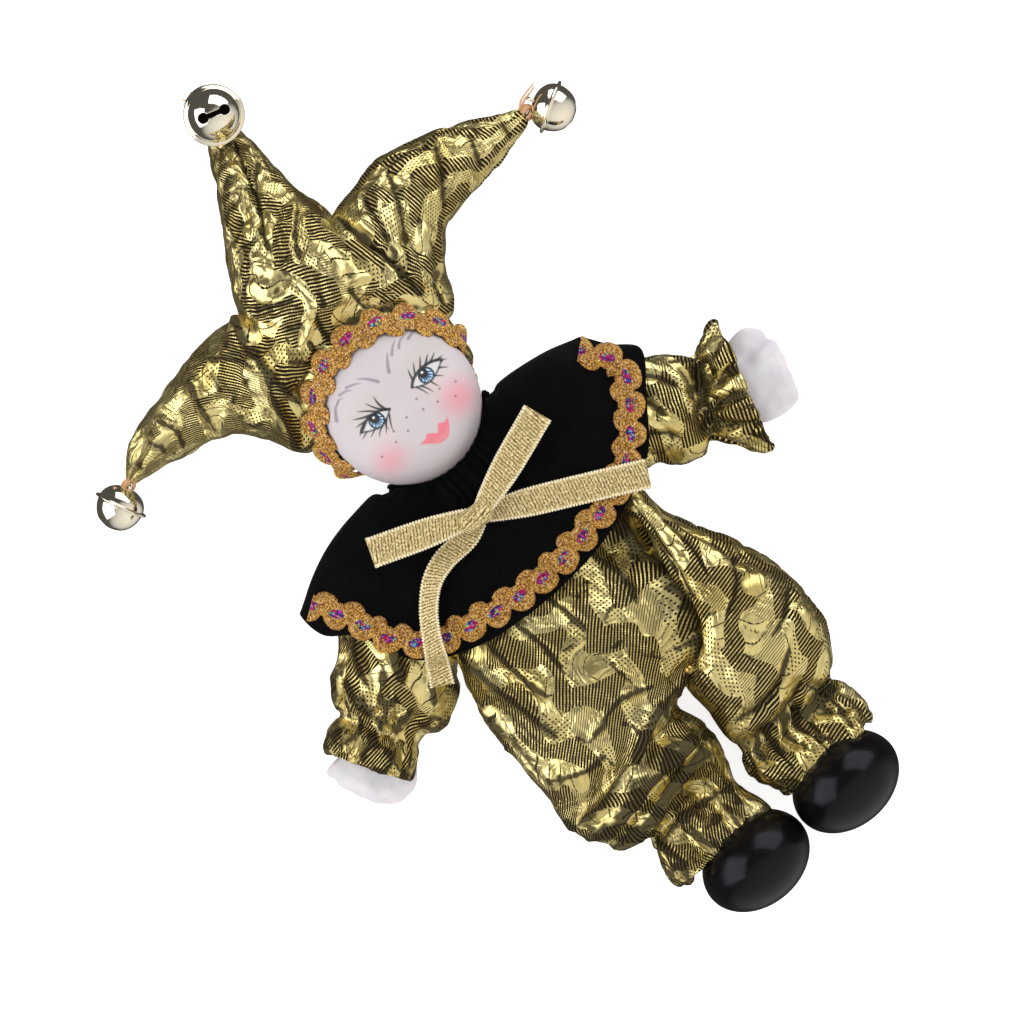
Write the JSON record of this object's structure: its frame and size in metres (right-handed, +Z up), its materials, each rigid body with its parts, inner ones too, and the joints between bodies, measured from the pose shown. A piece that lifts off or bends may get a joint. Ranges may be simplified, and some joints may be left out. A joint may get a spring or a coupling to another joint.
{
  "type": "clown doll",
  "caption": "Small porcelain clown doll lying on its back, in a gold brocade suit and a pointed jester hat with bells, a black velvet cape and a ribbon bow.",
  "frame": {"origin": "centre of the bounding box in plan, at the surface the doll lies on", "axes": "+Y from the feet to the top of the hat, +Z up from the table through the doll's front, +X to the doll's left hand (right in the plan view)"},
  "size_m": [0.133, 0.2008, 0.0347],
  "materials": {
    "porcelain_face": "white satin glaze with a painted face",
    "hat_brocade": "gold and black metallic brocade",
    "hat_gimp": "gold gimp braid with coloured metallic thread",
    "bell_metal": "polished pale gold plate",
    "sewing_thread": "tan cotton",
    "cape_velvet": "black velvet",
    "cape_gimp": "gold gimp braid with coloured metallic thread",
    "ribbon": "pale gold metallic ribbon",
    "suit_brocade": "gold and black metallic brocade",
    "porcelain_hand": "bluish white glaze",
    "foot_glaze": "gloss black over a white ankle",
    "bead": "yellow gold"
  },
  "bodies": {
    "root": {"head": "porcelain_face", "hat": "hat_brocade", "hat_braid": "hat_gimp", "bell_left": "bell_metal", "bell_middle": "bell_metal", "bell_right": "bell_metal", "bell_thread_left": "sewing_thread", "bell_thread_middle": "sewing_thread", "bell_thread_right": "sewing_thread", "cape": "cape_velvet", "cape_braid": "cape_gimp", "ribbon_bow": "ribbon", "suit": "suit_brocade", "hand_left": "porcelain_hand", "hand_right": "porcelain_hand", "foot_left": "foot_glaze", "foot_right": "foot_glaze", "trouser_bead": "bead"}
  },
  "joints": []
}
